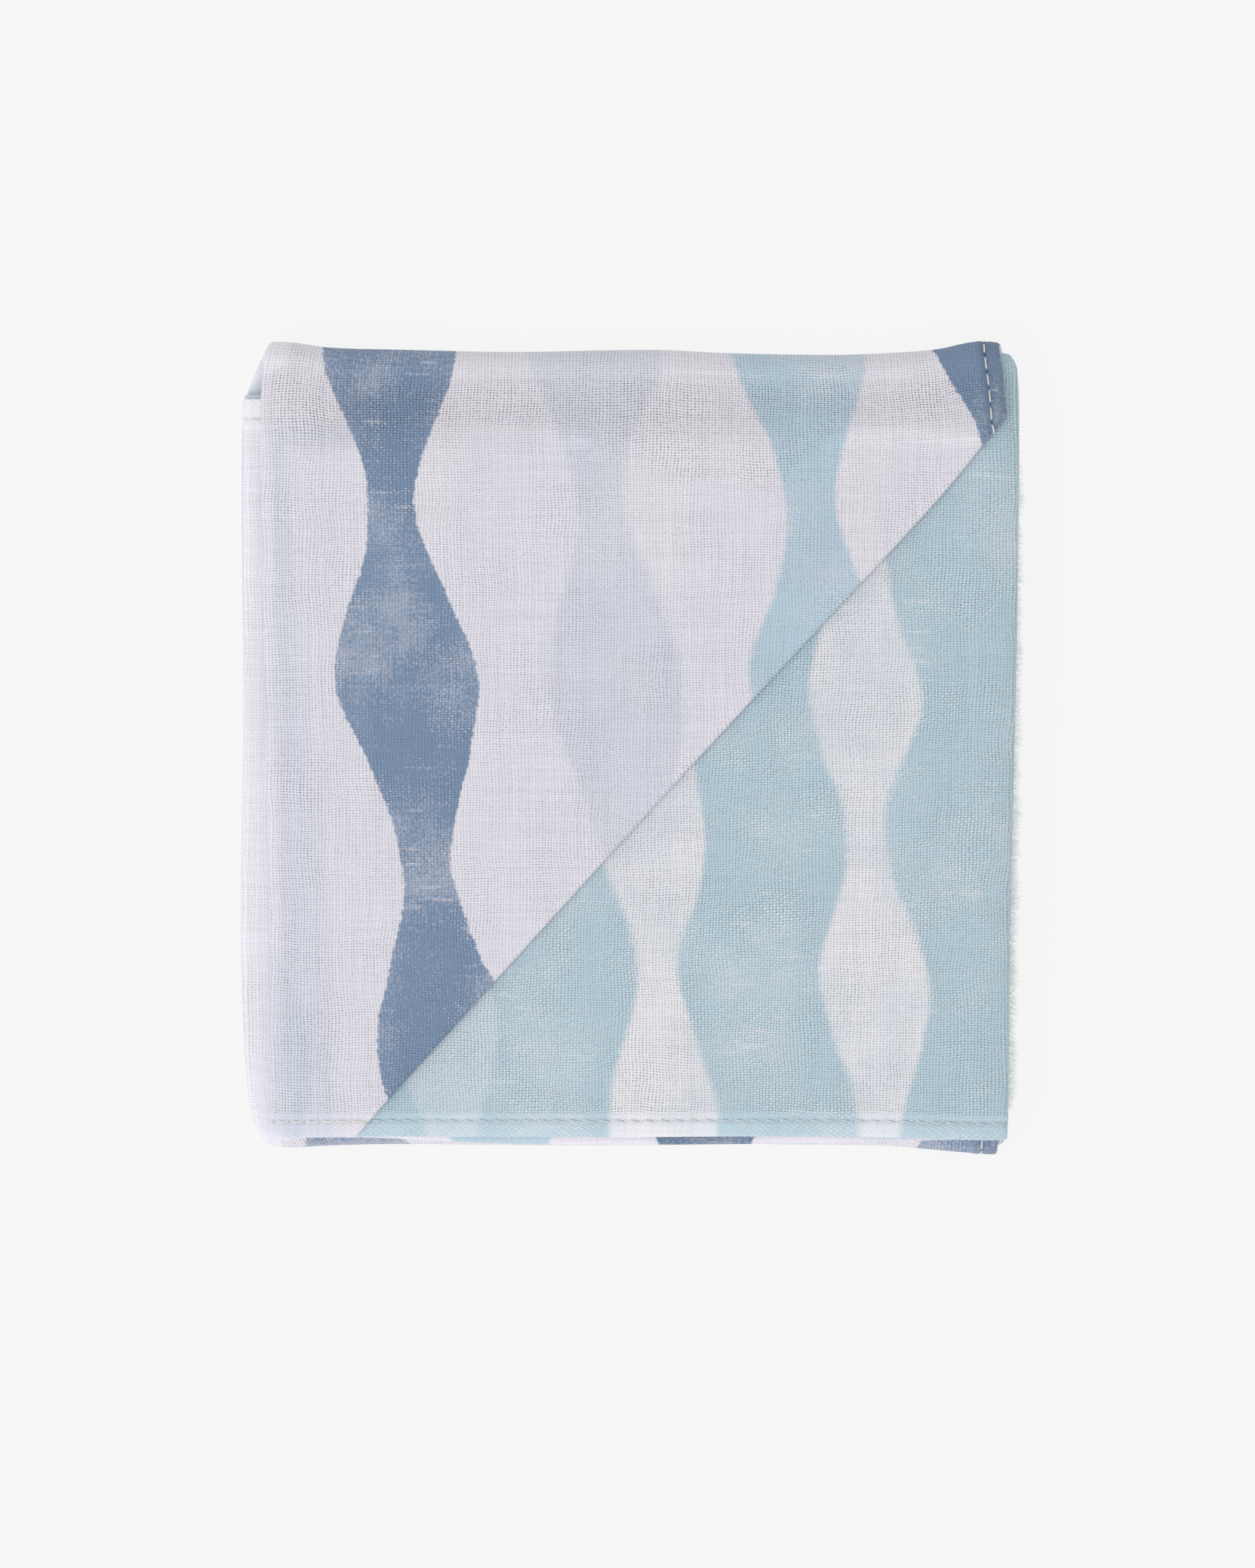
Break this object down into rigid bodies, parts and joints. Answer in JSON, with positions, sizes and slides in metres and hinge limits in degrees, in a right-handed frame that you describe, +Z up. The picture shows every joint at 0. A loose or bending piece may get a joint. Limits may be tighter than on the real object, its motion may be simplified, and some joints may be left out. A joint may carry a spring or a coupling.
{
  "type": "double gauze handkerchief",
  "caption": "Square double gauze handkerchief, hemmed all round and folded flat into a small square, its top corner turned under on the diagonal to show the reverse side.",
  "frame": {"origin": "on the surface that the handkerchief lies on, under the middle of the folded square", "axes": "+Z up through the layers; +Y towards the rolled fold at the back, away from the open hems in front; +X towards the side with the top panel's free hem"},
  "size_m": [0.119, 0.1244, 0.013],
  "materials": {
    "gauze": "plain-woven bleached cotton double gauze with a printed wavy stripe in blue, aqua and pale grey, matt"
  },
  "bodies": {
    "root": {"handkerchief": "gauze"}
  },
  "joints": []
}
